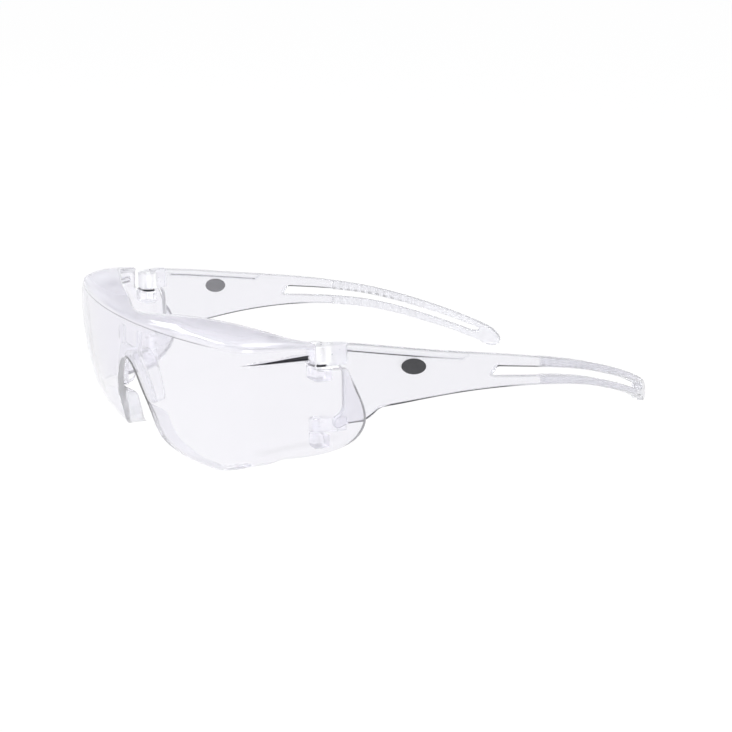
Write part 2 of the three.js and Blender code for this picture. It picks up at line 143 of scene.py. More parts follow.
TEMPLE_PLAN = [
    (63.8, 17), (65.0, 26), (66.2, 34), (67.6, 42), (69.2, 54), (70.4, 68), (71.1, 82),
    (71.2, 94), (70.4, 107), (68.0, 122), (63.0, 138), (57.6, 150), (51.6, 161), (42.8, 171),
]
TEMPLE_START_Y = 26.5
TEMPLE_FRONT = [
    (TEMPLE_START_Y, 20.0), (28.6, 20.9), (29.8, 22.6), (30, 25),
    (30, 33.4), (29.6, 35.9), (28.4, 37.2), (TEMPLE_START_Y, 37.5),
]
TEMPLE_TOP = [
    (29, 44.2), (38.8, 42.6), (60.9, 38.4), (86.4, 33.8), (107, 29.5),
    (122, 25.7), (139.2, 19.9), (153, 14.2), (162.6, 9.4), (167.8, 5.2),
]
TEMPLE_TIP = [(168.7, 3.0), (168.75, 1.3), (167.5, 0.25), (165, 0.1)]
TEMPLE_BOTTOM = [
    (163.2, 1.8), (158.6, 4.2), (153.4, 6.6), (142.3, 10.9), (127, 16.1), (112, 19.5), (99.7, 21.3),
    (86, 22.5), (72, 22.9), (56, 22.4), (45.5, 21.8),
]
TEMPLE_STEP = [(41.4, 20.9), (39.4, 18.8), (36.8, 18)]
SLOT_FRONT = [(83, 26.9), (85.4, 29.8)]
SLOT_TOP = [(85.4, 29.8), (104.3, 26.7), (122.6, 22.6), (139.5, 17), (155, 10.9), (160, 8.6)]
SLOT_END = [(162.2, 7.2), (162.6, 6.2), (161.2, 5.9)]
SLOT_BOTTOM = [(158, 6.9), (154, 8.7), (140, 14.4), (127, 18.9), (113, 22.3), (99.6, 24.5), (83, 26.9)]
BEAD_LOWER = [(34, 41.3), (54, 37.6), (71.5, 34.3)]
BEAD_END = (74.5, 35.9)
BRIDGE_EDGE = [(4.9, 29.4), (9.6, 22.6), (11.9, 18)]
BRIDGE_SEAT = [(14.9, 18.6), (13.6, 23.5), (10.5, 29.5), (8.2, 33)]
BRIDGE_ARCH_TOP = 31.8
NOSE_EDGE_Y = -12.6  # how far back the dark front part of the nose edge goes

EDGE, OUTER, INNER, BLOCK = range(4)  # the kinds of face that a material can be chosen for
RIM_RADIUS = 0.45
BLOCK_ROUNDING = 0.4
BORE_ROUNDING = 0.15
BLOCK_CORNER = 0.8  # rounding of a knuckle's or bracket's corners, seen from above
RING_STEP = 0.004  # keeps neighbouring rings of the lipped edge apart
FINE = 0.8  # point spacing along edges
COARSE = 1.3  # point spacing over large faces
MEDIUM = 0.9  # point spacing over small faces
ROW_SHARE = 0.866  # distance between rows of grid points, as a share of their spacing
BORDER_SHARE = 0.35  # grid points stay this share of their spacing away from an edge

hinges = {joint["child"]: joint for joint in frame["joints"]}
SHIFT_Y = hinges["left_temple"]["pos_m"][1] / MM - HINGE_Y


# ---- Curves and coordinates ----

def mirrored_points(points):
    return [(-a, *rest) for a, *rest in reversed(points)]


def smoothstep(value, low, high):
    t = np.clip((np.asarray(value, float) - low) / (high - low), 0, 1)
    return t * t * (3 - 2 * t)


class Spline:
    """A natural cubic spline through points, measured along its own length."""

    def __init__(self, points):
        self.knots = np.array(points, float)
        steps = np.linalg.norm(np.diff(self.knots, axis=0), axis=1)
        self.chord = np.concatenate([[0], np.cumsum(steps)])
        count = len(self.knots)
        system = np.eye(count)
        target = np.zeros_like(self.knots)
        slopes = np.diff(self.knots, axis=0) / steps[:, None]
        for i in range(1, count - 1):
            system[i, i - 1:i + 2] = steps[i - 1], 2 * (steps[i - 1] + steps[i]), steps[i]
            target[i] = 6 * (slopes[i] - slopes[i - 1])
        self.bend = np.linalg.solve(system, target)
        fine = np.linspace(0, self.chord[-1], 40 * count)
        lengths = np.linalg.norm(np.diff(self._evaluate(fine), axis=0), axis=1)
        self.fine = fine
        self.along = np.concatenate([[0], np.cumsum(lengths)])
        self.length = self.along[-1]

    def _evaluate(self, t):
        i = np.clip(np.searchsorted(self.chord, t, side="right") - 1, 0, len(self.chord) - 2)
        step = self.chord[i + 1] - self.chord[i]
        b = ((t - self.chord[i]) / step)[:, None]
        a = 1 - b
        h2 = (step ** 2)[:, None] / 6
        return (a * self.knots[i] + b * self.knots[i + 1]
                + h2 * ((a ** 3 - a) * self.bend[i] + (b ** 3 - b) * self.bend[i + 1]))

    def at(self, distance):
        return self._evaluate(np.interp(distance, self.along, self.fine))

    def tangent(self, distance):
        reach = 0.2
        low = np.clip(distance - reach, 0, self.length)
        high = np.clip(distance + reach, 0, self.length)
        ahead = self.at(high) - self.at(low)
        return ahead / np.linalg.norm(ahead, axis=1, keepdims=True)

    def sampled(self, spacing=FINE):
        return self.at(np.linspace(0, self.length, max(2, int(self.length / spacing) + 1)))


def smooth_line(*stretches):
    """Points along several stretches, each a smooth curve, that meet in corners."""
    lines = [Spline(points).sampled() if len(points) > 2 else straight(*points) for points in stretches]
    return np.concatenate([line[:-1] for line in lines] + [lines[-1][-1:]])


def straight(start, end):
    count = max(1, int(math.dist(start, end) / FINE))
    return np.linspace(start, end, count + 1)


def softened(loop, radius):
    """A closed loop whose corners are rounded by averaging along its length."""
    closed = np.vstack([loop, loop[:1]])
    along = np.concatenate([[0], np.cumsum(np.linalg.norm(np.diff(closed, axis=0), axis=1))])
    count = int(along[-1] / (FINE * 0.75))
    even = np.linspace(0, along[-1], count, endpoint=False)
    points = np.stack([np.interp(even, along, closed[:, k]) for k in range(2)], 1)
    for _ in range(int((radius / FINE) ** 2 * 3)):
        points = 0.5 * points + 0.25 * (np.roll(points, 1, 0) + np.roll(points, -1, 0))
    return points


# ---- One builder for every moulded piece ----

def winding(loop):
    x, y = loop.T
    return 0.5 * np.sum(x * np.roll(y, -1) - y * np.roll(x, -1))


def inside(points, loops):
    """True for each point that an odd number of the closed loops goes round."""
    crossings = np.zeros(len(points), int)
    px, py = points[:, 0], points[:, 1]
    for loop in loops:
        for (x0, y0), (x1, y1) in zip(loop, np.roll(loop, -1, 0)):
            if y0 == y1:
                continue
            spans = (py < y0) != (py < y1)
            crossings += spans & (px < x0 + (py - y0) * (x1 - x0) / (y1 - y0))
    return crossings % 2 == 1


def inward(loop):
    """Unit direction at each point of a counterclockwise loop that points into it."""
    ahead = np.roll(loop, -1, 0) - np.roll(loop, 1, 0)
    ahead /= np.linalg.norm(ahead, axis=1, keepdims=True)
    return np.stack([-ahead[:, 1], ahead[:, 0]], 1)


def rounded_rim(thickness, radius, steps=4):
    """Section of a rounded edge from the outer face to the inner one, as (inset, depth)."""
    turn = np.linspace(0, math.pi / 2, steps + 1)
    outer = np.stack([radius * (1 - np.sin(turn)), radius * (1 - np.cos(turn))], 1)
    inner = np.stack([outer[::-1, 0], thickness - outer[::-1, 1]], 1)
    return np.vstack([outer, inner])


def filled(loops, spacing, extra):
    """Triangles over the area between loops, with an even grid of points inside."""
    outer = loops[0]
    low, high = outer.min(0), outer.max(0)
    grid = []
    for k, row in enumerate(np.arange(low[1], high[1], spacing * ROW_SHARE)):
        across = np.arange(low[0] + spacing / 2 * (k % 2), high[0], spacing)
        grid.append(np.stack([across, np.full(len(across), row)], 1))
    candidates = np.vstack([*grid, extra])
    candidates = candidates[inside(candidates, loops)]
    border = np.vstack(loops)
    nearest = np.array([np.min(np.sum((border - point) ** 2, 1)) for point in candidates])
    keep = nearest > (BORDER_SHARE * spacing) ** 2
    points = np.vstack([border, candidates[keep]])
    edges = []
    start = 0
    for loop in loops:
        count = len(loop)
        edges += [(start + i, start + (i + 1) % count) for i in range(count)]
        start += count
    _, _, faces, sources, _, _ = delaunay_2d_cdt([Vector(p) for p in points], edges, [], 0, 1e-6)
    original = np.array([source[0] for source in sources])
    triangles = original[np.array([list(face) for face in faces])]
    middles = points[triangles].mean(1)
    return points, triangles[inside(middles, loops)]


def moulding(loops, thickness, place, rims=None, spacing=COARSE, outer_relief=None, inner_relief=None,
             extra=(), radius=RIM_RADIUS):
    """A closed plate: loops bound it in its own flat coordinates, and place bends it into shape.

    The first loop is the outline and the others are holes. place(p, q, depth) gives a point in
    millimetres, with depth 0 on the outer face. rims gives each loop's edge section.
    """
    loops = [loop if (winding(loop) > 0) == (k == 0) else loop[::-1] for k, loop in enumerate(loops)]
    rims = rims or [rounded_rim(thickness, radius)] * len(loops)

    def bent(flat, depth):
        through = depth / thickness
        if outer_relief is not None:
            depth = depth - outer_relief(*flat.T) * np.clip(1 - through, 0, 1)
        if inner_relief is not None:
            depth = depth - inner_relief(*flat.T) * np.clip(through, 0, 1)
        return place(flat[:, 0], flat[:, 1], depth)

    points, faces, count = [], [], 0
    outer_loops, inner_loops, outer_rows, inner_rows = [], [], [], []
    for loop, rim in zip(loops, rims):
        sections = np.broadcast_to(rim, (len(loop), *np.shape(rim)[-2:]))
        into = inward(loop)
        zero = np.zeros(len(loop))
        stretch = np.linalg.norm(bent(loop + 0.1 * into, zero) - bent(loop - 0.1 * into, zero), axis=1) / 0.2
        flats = loop[:, None] + into[:, None] * (sections[:, :, :1] / stretch[:, None, None])
        size, levels = flats.shape[:2]
        index = count + np.arange(size * levels).reshape(size, levels)
        points.append(bent(flats.reshape(-1, 2), sections[:, :, 1].reshape(-1)))
        after = np.roll(index, -1, 0)
        for level in range(levels - 1):
            quads = [index[:, level], index[:, level + 1], after[:, level + 1], after[:, level]]
            faces += np.stack(quads, 1).tolist()
        outer_loops.append(flats[:, 0])
        inner_loops.append(flats[:, -1])
        outer_rows.append(index[:, 0])
        inner_rows.append(index[:, -1])
        count += size * levels
    kinds = [EDGE] * len(faces)
    extra = np.array(extra, float).reshape(-1, 2)
    for side_loops, rows, depth, kind in (
        (outer_loops, outer_rows, 0.0, OUTER),
        (inner_loops, inner_rows, thickness, INNER),
    ):
        flat, triangles = filled(side_loops, spacing, extra)
        border = np.concatenate(rows)
        inner_points = flat[len(border):]
        points.append(bent(inner_points, np.full(len(inner_points), depth)))
        number = np.concatenate([border, count + np.arange(len(inner_points))])
        triangles = number[triangles]
        faces += (triangles[:, ::-1] if kind == INNER else triangles).tolist()
        kinds += [kind] * len(triangles)
        count += len(inner_points)
    return np.vstack(points), faces, kinds


def made_object(name, shapes, *materials):
    """One mesh object, in metres, from closed shapes of points, faces and kinds.

    materials holds one for every kind of face, or one for all of them.
    """
    points, faces, kinds, start = [], [], [], 0
    for shape_points, shape_faces, shape_kinds in shapes:
        points.append(shape_points)
        faces += [[start + i for i in face] for face in shape_faces]
        kinds += shape_kinds
        start += len(shape_points)
    kinds = np.minimum(kinds, len(materials) - 1)
    place = (np.vstack(points) + (0, SHIFT_Y, 0)) * MM
    mesh = bpy.data.meshes.new(name)
    mesh.from_pydata(place.tolist(), [], faces)
    mesh.validate()
    mesh.update()
    mesh.shade_smooth()
    for material in materials:
        mesh.materials.append(material)
    mesh.polygons.foreach_set("material_index", kinds)
    piece = bpy.data.objects.new(name, mesh)
    bpy.context.scene.collection.objects.link(piece)
    return piece


# ---- Front shield: lens, brow ledge and side shields in one moulding ----

front_plan = Spline(mirrored_points(FRONT_PLAN[1:]) + FRONT_PLAN)
HALF_PLAN = front_plan.length / 2
brow_rear = Spline(mirrored_points(BROW_REAR[1:]) + BROW_REAR)


def shape_front(x, y, z):
    """Leans, rolls and narrows points of the upright plan wall into the real front."""
    lens_share = 1 - smoothstep(y, *LENS_FADE)
    shield_share = smoothstep(y, SHIELD_START_Y, SHIELD_FULL_Y)
    rise = z - LENS_FLAT_HEIGHT
    roll = RIM_ROLL * np.maximum(0, RIM_ROLL_HEIGHT - z) ** 2
    curl = SHIELD_CURL * np.maximum(0, SHIELD_CURL_HEIGHT - z) ** 2 * shield_share
    narrowed = x * (1 - SIDE_NARROWING * rise ** 2)
    return np.stack([
        narrowed - np.sign(x) * curl,
        y + (LENS_RECEDE * rise ** 2 + roll) * lens_share,
        z,
    ], 1)


def wall_outside(s, z):
    plan = front_plan.at(s + HALF_PLAN)
    return shape_front(plan[:, 0], plan[:, 1], z)


def s_where(axis, value, z):
    """The place along the wall, on the wearer's left, whose x or y has this value at height z."""
    s = np.linspace(0, HALF_PLAN, 400)
    return float(np.interp(value, wall_outside(s, np.full(len(s), float(z)))[:, axis], s))


BROW_END_S = s_where(1, BROW_END_Y, LENS_FLAT_HEIGHT)


def quadratic(start, middle, end, t):
    t = t[:, None]
    return (1 - t) ** 2 * start + 2 * t * (1 - t) * middle + t ** 2 * end


def ledge_outside(s, share):
    """The top of the brow ledge: it leaves the lens steeply and flattens towards its rear edge."""
    front = wall_outside(s, np.full(len(s), BROW_HEIGHT))
    along = np.clip((s + BROW_END_S) / (2 * BROW_END_S), 0, 1)
    rear = brow_rear.at(along * brow_rear.length)
    knee = front + LEDGE_KNEE_SHARE * (rear - front)
    knee[:, 2] = front[:, 2] + LEDGE_KNEE_RISE * (rear[:, 2] - front[:, 2]) + LEDGE_KNEE_LIFT
    return quadratic(front, knee, rear, share)


def shell_outside(s, w):
    """The outer surface: w is the height up to the brow's front edge, and crosses the ledge above."""
    share = np.clip((w - BROW_HEIGHT) / LEDGE_SPAN, 0, 1)
    points = np.where((w > BROW_HEIGHT)[:, None], ledge_outside(s, share),
                      wall_outside(s, np.minimum(w, BROW_HEIGHT)))
    low = BROW_HEIGHT - BROW_EDGE_BELOW
    high = BROW_HEIGHT + BROW_EDGE_SHARE * LEDGE_SPAN
    rounded = quadratic(
        wall_outside(s, np.full(len(s), low)),
        wall_outside(s, np.full(len(s), BROW_HEIGHT)),
        ledge_outside(s, np.full(len(s), BROW_EDGE_SHARE)),
        np.clip((w - low) / (high - low), 0, 1),
    )
    return np.where(((w > low) & (w < high))[:, None], rounded, points)


def unit(vectors):
    return vectors / np.linalg.norm(vectors, axis=1, keepdims=True)


def shell_inward(s, w):
    """Direction from the outer face to the inner one: level on the wall, square on the ledge."""
    step = 0.3
    tangent = front_plan.tangent(s + HALF_PLAN)
    level = np.stack([-tangent[:, 1], tangent[:, 0], np.zeros(len(s))], 1)
    across = shell_outside(s + step, w) - shell_outside(s - step, w)
    upward = shell_outside(s, w + step) - shell_outside(s, w - step)
    square = unit(-np.cross(across, upward))
    share = smoothstep(w, BROW_HEIGHT - 7, BROW_HEIGHT - 2)[:, None]
    return unit((1 - share) * level + share * square)


def shell_place(s, w, depth):
    return shell_outside(s, w) + shell_inward(s, w) * depth[:, None]


def shell_outline():
    """The front's outline, drawn for the left half and mirrored."""
    lens = [(0, NOSE_ARCH[0][1])] + [(s_where(0, x, z), z) for x, z in NOSE_ARCH[1:] + LOWER_RIM]
    side = [(s_where(1, y, z), z) for y, z in SHIELD_REAR]
    lower = Spline([(-s, z) for s, z in lens[1:3]][::-1] + lens + side).sampled()
    lower = lower[lower[:, 0] >= 0]
    top_rear = (s_where(1, SHIELD_TOP_REAR_Y, UPPER_BRACKET[1]), UPPER_BRACKET[1])
    notch = (BROW_END_S, UPPER_BRACKET[1])
    corner = (BROW_END_S, BROW_HEIGHT + LEDGE_SPAN)
    turns = [tuple(lower[-1]), top_rear, notch, corner, (0, corner[1])]
    upper = smooth_line(*zip(turns, turns[1:]))
    half = np.vstack([lower, upper[1:-1]])
    half[:, 1] = np.maximum(half[:, 1], 0)
    left = half[half[:, 0] > 0.2]
    return softened(np.vstack([left, left[::-1] * (-1, 1)]), 1.0)


def lip_share(loop):
    """How much of the rearward lip each point of the outline carries, from 0 to 1."""
    side = np.abs(loop[:, 0])
    low = 1 - smoothstep(loop[:, 1], LIP_TOP_Z - LIP_FADE_Z, LIP_TOP_Z + LIP_FADE_Z)
    return low * (1 - smoothstep(side, LENS_END_X - LIP_FADE_X, LENS_END_X + LIP_FADE_X))


def lipped_rim(shares, steps=4):
    """Edge sections for each point of the outline: a plain round edge grows into a rearward lip."""
    turn = np.linspace(0, math.pi / 2, steps + 1)
    k = shares[:, None]
    r = RIM_RADIUS
    deep = WALL + LIP_REACH * k
    thick = r + (LIP_THICKNESS - r) * k
    small = r * k
    sine, cosine = np.sin(turn)[None], np.cos(turn)[None]
    start = (r * (1 - sine) + 0 * k, r * (1 - cosine) + 0 * k)
    end = (r * (1 - cosine) + 0 * k, deep - r * (1 - sine))
    inner = (thick - small * (1 - sine), deep - small * (1 - cosine))
    foot = (thick + small * (1 - cosine), WALL + small * (1 - sine))
    insets, depths = (np.concatenate([part[i] for part in (start, end, inner, foot)], 1) for i in (0, 1))
    insets = insets + RING_STEP * np.arange(insets.shape[1])
    return np.stack([insets, depths], 2)


GROOVE_START_S, GROOVE_END_S = (s_where(1, y, GROOVE_TIP_Z) for y in GROOVE_Y)


def groove_edges(side, furthest):
    """Heights of the groove's top and foot, which part from the tip towards the hinge."""
    along = np.clip((side - GROOVE_START_S) / (GROOVE_END_S - GROOVE_START_S), 0, furthest)
    return GROOVE_TIP_Z + GROOVE_TOP_RISE * along, GROOVE_TIP_Z + GROOVE_FOOT_RISE * along


def side_groove(s, w):
    """Relief of the tapering groove under the brow, along the top of each side shield."""
    side = np.abs(s)
    top, foot = groove_edges(side, 1.2)
    edge = GROOVE_EDGE
    between = smoothstep(w, foot - edge, foot + edge) * (1 - smoothstep(w, top - edge, top + edge))
    starts = smoothstep(side, GROOVE_START_S, GROOVE_START_S + 1)
    ends = 1 - smoothstep(side, GROOVE_END_S - edge, GROOVE_END_S + edge)
    return -GROOVE_DEPTH * between * (starts * ends)


def groove_lines():
    """Rows of points that keep the groove's edges crisp."""
    side = np.arange(GROOVE_START_S, GROOVE_END_S + 1, 0.5)
    rows = [np.stack([side, line + offset], 1) for line in groove_edges(side, 1) for offset in (-0.3, 0, 0.3)]
    points = np.vstack(rows)
    return np.vstack([points, points * (-1, 1)])


# ---- Upright prisms for knuckles and brackets ----

def arc(centre, radius, start, end, count=14):
    turn = np.radians(np.linspace(start, end, count))
    return [(centre[0] + radius * math.cos(a), centre[1] + radius * math.sin(a)) for a in turn]


def prism(outline, bottom, top, bore=None, side=1, radius=BLOCK_ROUNDING):
    """An upright block with rounded edges, and a bore for the hinge pin where it has one."""
    def place(x, y, depth):
        return np.stack([side * x, y, top - depth], 1)
    loops = [np.array(outline)]
    rims = [rounded_rim(top - bottom, radius)]
    if bore:
        loops.append(np.array(arc((HINGE_X, HINGE_Y), bore, 0, 345, 20)))
        rims.append(rounded_rim(top - bottom, BORE_ROUNDING))
    points, faces, _ = moulding(loops, top - bottom, place, rims=rims, spacing=MEDIUM)
    return points, faces if side > 0 else [face[::-1] for face in faces], [BLOCK] * len(faces)


def bracket_outline(radius, reach):
    return arc(HINGE, radius, 90, 270) + [(reach, HINGE_Y - radius), (reach + 0.6, HINGE_Y + radius)]


def upper_knuckle_outline():
    return arc(HINGE, UPPER_BARREL_RADIUS, 70, 272) + [
        (65.6, 19.9), (67.0, 21.0), (67.6, 24.5), (67.8, 28), (67.5, 31.4), (65.2, 31.4), (63.0, 27.8),
    ]


def lower_knuckle_outline():
    return arc(HINGE, LOWER_BARREL_RADIUS, 110, 300) + [
        (64.4, 24.6), (65.6, 28), (66.1, 31.4), (64.1, 31.4), (62.3, 27.6),
    ]


def front_shield(*materials):
    outline = shell_outline()
    shell = moulding([outline], WALL, shell_place, rims=[lipped_rim(lip_share(outline))], spacing=COARSE,
                     outer_relief=side_groove, extra=groove_lines())
    brackets = []
    for side in (1, -1):
        for radius, reach, span in (
            (UPPER_BARREL_RADIUS, 67.4, UPPER_BRACKET),
            (LOWER_BARREL_RADIUS, 66.2, LOWER_BRACKET),
        ):
            block = softened(np.array(bracket_outline(radius, reach)), BLOCK_CORNER)
            brackets.append(prism(block, *span, side=side))
    return made_object("clear_front_shield", [shell, *brackets], *materials)


# ---- Temple ----

temple_plan = Spline(TEMPLE_PLAN)
PLAN_P = np.linspace(0, temple_plan.length, 600)  # distances along the plan line
PLAN_Y = temple_plan.at(PLAN_P)[:, 1]


def p_where(y):
    return np.interp(y, PLAN_Y, PLAN_P)


def temple_placer(side, outset):
    """Bends flat (along, height, depth) coordinates round the temple's plan line."""
    def place(p, z, depth):
        plan = temple_plan.at(p)
        along = temple_plan.tangent(p)
        away = outset - depth
        return np.stack([
            side * (plan[:, 0] + along[:, 1] * away),
            plan[:, 1] - along[:, 0] * away,
            z,
        ], 1)
    return place


def on_temple(line):
    line = np.array(line, float)
    return np.stack([p_where(line[:, 0]), line[:, 1]], 1)


def temple_outline():
    above = [TEMPLE_FRONT[-1], (TEMPLE_START_Y, 44.2), TEMPLE_TOP[0]]
    below = [TEMPLE_STEP[-1], (31, 17.9), (28.4, 16.6), (TEMPLE_START_Y, 16.9), TEMPLE_FRONT[0]]
    return smooth_line(
        TEMPLE_FRONT,
        *zip(above, above[1:]),
        TEMPLE_TOP + TEMPLE_TIP,
        TEMPLE_TIP[-1:] + TEMPLE_BOTTOM + TEMPLE_STEP,
        *zip(below, below[1:]),
    )[:-1]


def slot_outline():
    return smooth_line(
        SLOT_FRONT,
        SLOT_TOP + SLOT_END + SLOT_BOTTOM,
    )[:-1]


def bead_relief(p, z):
    """The raised bead along the front half of the temple's top edge."""
    y = np.interp(p, PLAN_P, PLAN_Y)
    lower = np.interp(y, *np.array(BEAD_LOWER + [BEAD_END]).T)
    width = 0.2
    up = smoothstep(z, lower - width, lower + width)
    return BEAD_HEIGHT * up * (1 - smoothstep(y, BEAD_END[0] - 0.8, BEAD_END[0]))


def bead_lines():
    line = Spline(BEAD_LOWER).sampled(0.5)
    end = straight(BEAD_LOWER[-1], BEAD_END)
    rows = np.vstack([line, end])
    return np.vstack([on_temple(rows + (0, offset)) for offset in (-0.25, 0, 0.25)])


def flipped_if(side, shape):
    points, faces, kinds = shape
    return (points, faces, kinds) if side > 0 else (points, [face[::-1] for face in faces], kinds)


def temple(name, side, *materials):
    half = TEMPLE_THICKNESS / 2
    loops = [softened(on_temple(temple_outline()), 1.0), softened(on_temple(slot_outline()), 0.6)]
    blade = moulding(loops, TEMPLE_THICKNESS, temple_placer(side, half), spacing=COARSE,
                     outer_relief=bead_relief, extra=bead_lines())
    knuckles = [
        prism(softened(np.array(outline), BLOCK_CORNER), *span, bore=BORE_RADIUS, side=side)
        for outline, span in (
            (upper_knuckle_outline(), UPPER_KNUCKLE),
            (lower_knuckle_outline(), LOWER_KNUCKLE),
        )
    ]
    return made_object(name, [flipped_if(side, blade), *knuckles], *materials)


def rib_relief(p, z):
    """Grooves across the grip's inner face, one every rib pitch."""
    y = np.interp(p, PLAN_P, PLAN_Y)
    phase = (y - GRIP_START_Y) / RIB_PITCH
    wave = 0.5 - 0.5 * np.cos(2 * math.pi * phase)
    return RIB_DEPTH * smoothstep(wave, 0.25, 0.8) * (y < RIBS_END_Y)


def part_of(line, low_y):
    return line[line[:, 0] >= low_y]


def grip_outline():
    top = part_of(Spline(TEMPLE_TOP + TEMPLE_TIP[:-1]).sampled(), GRIP_START_Y)
    top = top[top[:, 1] > 0.8]
    bottom = part_of(Spline(TEMPLE_TIP[-1:] + TEMPLE_BOTTOM).sampled(), GRIP_START_Y)
    bottom = bottom[bottom[:, 1] > 0.8]
    slot = part_of(Spline(SLOT_TOP + SLOT_END + SLOT_BOTTOM).sampled(), GRIP_START_Y)
    return np.vstack([top, bottom, slot[::-1]])


def temple_grip(name, side, material):
    outset = -TEMPLE_THICKNESS / 2 - GAP
    loop = softened(on_temple(grip_outline()), 0.3)
    shape = moulding([loop], GRIP_THICKNESS, temple_placer(side, outset), radius=0.25, spacing=MEDIUM,
                     inner_relief=rib_relief)
    return made_object(name, [flipped_if(side, shape)], material)


def printed_mark(name, side, material):
    turn = np.linspace(0, 2 * math.pi, 48, endpoint=False)
    oval = np.stack([MARK_SIZE[0] / 2 * np.cos(turn), MARK_SIZE[1] / 2 * np.sin(turn)], 1)
    tilt = np.array([[math.cos(MARK_TILT), math.sin(MARK_TILT)], [-math.sin(MARK_TILT), math.cos(MARK_TILT)]])
    loop = on_temple(oval @ tilt + MARK_CENTRE)
    outset = TEMPLE_THICKNESS / 2 + GAP + MARK_THICKNESS
    shape = moulding([loop], MARK_THICKNESS, temple_placer(side, outset), radius=0.1, spacing=MEDIUM)
    return made_object(name, [flipped_if(side, shape)], material)


def hinge_pin(name, side, bottom, top, material):
    """A short moulded pin with rounded ends."""
    shape = prism(arc(HINGE, PIN_RADIUS, 0, 345, 24), bottom, top, radius=0.3, side=side)
    return made_object(name, [shape], material)


# ---- Nose bridge ----

def bridge_plate():
    """The clip behind the lens: two prongs above a seat that follows the nose arch."""
    arch = mirrored_points(BRIDGE_EDGE) + [(0, BRIDGE_ARCH_TOP)] + BRIDGE_EDGE
    right_side = Spline(BRIDGE_SEAT + [(CLIP_HALF_WIDTH, CLIP_SHOULDER_Z)]).sampled()
    outline = np.vstack([
        Spline(arch).sampled(),
        right_side,
        [(CLIP_HALF_WIDTH, CLIP_TOP_Z), (PRONG_INSIDE, CLIP_TOP_Z), (PRONG_INSIDE, PRONG_FOOT_Z)],
        [(-PRONG_INSIDE, PRONG_FOOT_Z), (-PRONG_INSIDE, CLIP_TOP_Z), (-CLIP_HALF_WIDTH, CLIP_TOP_Z)],
        right_side[::-1] * (-1, 1),
    ])

    def place(s, z, depth):
        return shell_outside(s, z) + shell_inward(s, z) * (depth + WALL + GAP)[:, None]

    return moulding([softened(outline, 0.5)], BRIDGE_THICKNESS, place, radius=BRIDGE_RADIUS, spacing=MEDIUM)


def saddle():
    """The saddle reaches rearward from the arch and opens into the pads that rest on the nose."""
    line = Spline(mirrored_points(BRIDGE_EDGE) + [(0, BRIDGE_ARCH_TOP)] + BRIDGE_EDGE)

    def place(u, v, depth):
        point = line.at(u)
        along = line.tangent(u)
        down = np.abs(2 * u / line.length - 1)
        front = SADDLE_FRONT_Y + LENS_RECEDE * (point[:, 1] - LENS_FLAT_HEIGHT) ** 2
        reach = 1 + PAD_EXTRA_REACH / SADDLE_REACH * down ** 2
        outward = depth + PAD_FLARE * down * v / SADDLE_REACH
        return np.stack([
            point[:, 0] - along[:, 1] * outward,
            front + reach * v,
            point[:, 1] + along[:, 0] * outward,
        ], 1)

    corners = [(0, 0), (line.length, 0), (line.length, SADDLE_REACH), (0, SADDLE_REACH)]
    loop = smooth_line(*[[a, b] for a, b in zip(corners, corners[1:] + corners[:1])])[:-1]
    points, faces, kinds = moulding([softened(loop, 1.2)], SADDLE_THICKNESS, place, radius=BRIDGE_RADIUS,
                                    spacing=MEDIUM)
    return points, [face[::-1] for face in faces], kinds


def nose_bridge(*materials):
    return made_object("clear_nose_bridge", [bridge_plate(), saddle()], *materials)


# ---- Materials ----

# The dark colour that painted shade lines and patches are mixed towards.
PAINTED_SHADE_COLOUR = (0.02, 0.02, 0.025)
CLARITY_SPAN = 50.0  # the height that the stops of a clarity ramp are a share of
GRAZING_SHARE = 0.85  # of the light that comes through where the wall is seen at a low angle
WALL_TINT = (0.875, 0.868, 0.905)
ARM_TINT = (0.86, 0.855, 0.89)
EDGE_TINT = (0.8, 0.8, 0.825)
INK_UNEVENNESS = (0.7, 1.3)
BROW_LINE_Z = 44.2
BROW_CLARITY = [
    (0, 0.93), (BROW_LINE_Z - 0.2, 0.93), (BROW_LINE_Z + 0.4, 0.5), (46.8, 0.5), (48.6, 0.75),
]


class Nodes:
    """Short calls for building a node material from nothing."""

    def __init__(self, material):
        material.use_nodes = True
        self.tree = material.node_tree
        self.tree.nodes.clear()

    def new(self, kind, values=None, **properties):
        node = self.tree.nodes.new(kind)
        for name, value in properties.items():
            setattr(node, name, value)
        for socket, value in (values or {}).items():
            if isinstance(value, bpy.types.NodeSocket):
                self.tree.links.new(value, node.inputs[socket])
            else:
                node.inputs[socket].default_value = value
        return node

    def ramp(self, value, start, end, low=0.0, high=1.0):
        """low below start, high above end, and a smooth change between."""
        return self.new("ShaderNodeMapRange", {
            "Value": value, "From Min": start, "From Max": end, "To Min": low, "To Max": high,
        }, interpolation_type="SMOOTHSTEP").outputs["Result"]

    def maths(self, operation, *values):
        return self.new("ShaderNodeMath", dict(enumerate(values)), operation=operation).outputs["Value"]


def set_stops(ramp, stops):
    """Gives a colour ramp these stops, each a position and a colour."""
    ramp.elements.remove(ramp.elements[0])
    for number, (position, colour) in enumerate(stops):
        stop = ramp.elements.new(position) if number else ramp.elements[0]
        stop.position = position
        stop.color = (*colour, 1)


def shade_band(nodes, y, z, low, high, start, fade, edge=0.12):
    """A mask of painted shade between two straight lines of the (y, z) plane, each given by its two ends."""
    def above(line):
        (y0, z0), (y1, z1) = line
        slope = (z1 - z0) / (y1 - y0)
        height = nodes.maths("MULTIPLY_ADD", y, slope, (z0 - slope * (y0 + SHIFT_Y)) * MM)
        return nodes.ramp(nodes.maths("SUBTRACT", z, height), -edge * MM, edge * MM)

    between = nodes.maths("SUBTRACT", above(low), above(high))
    begins, ends = ([(value + SHIFT_Y) * MM for value in pair] for pair in (start, fade))
    along = nodes.maths("MULTIPLY", nodes.ramp(y, *begins), nodes.ramp(y, *ends, 1, 0))
    return nodes.maths("MULTIPLY", between, along)


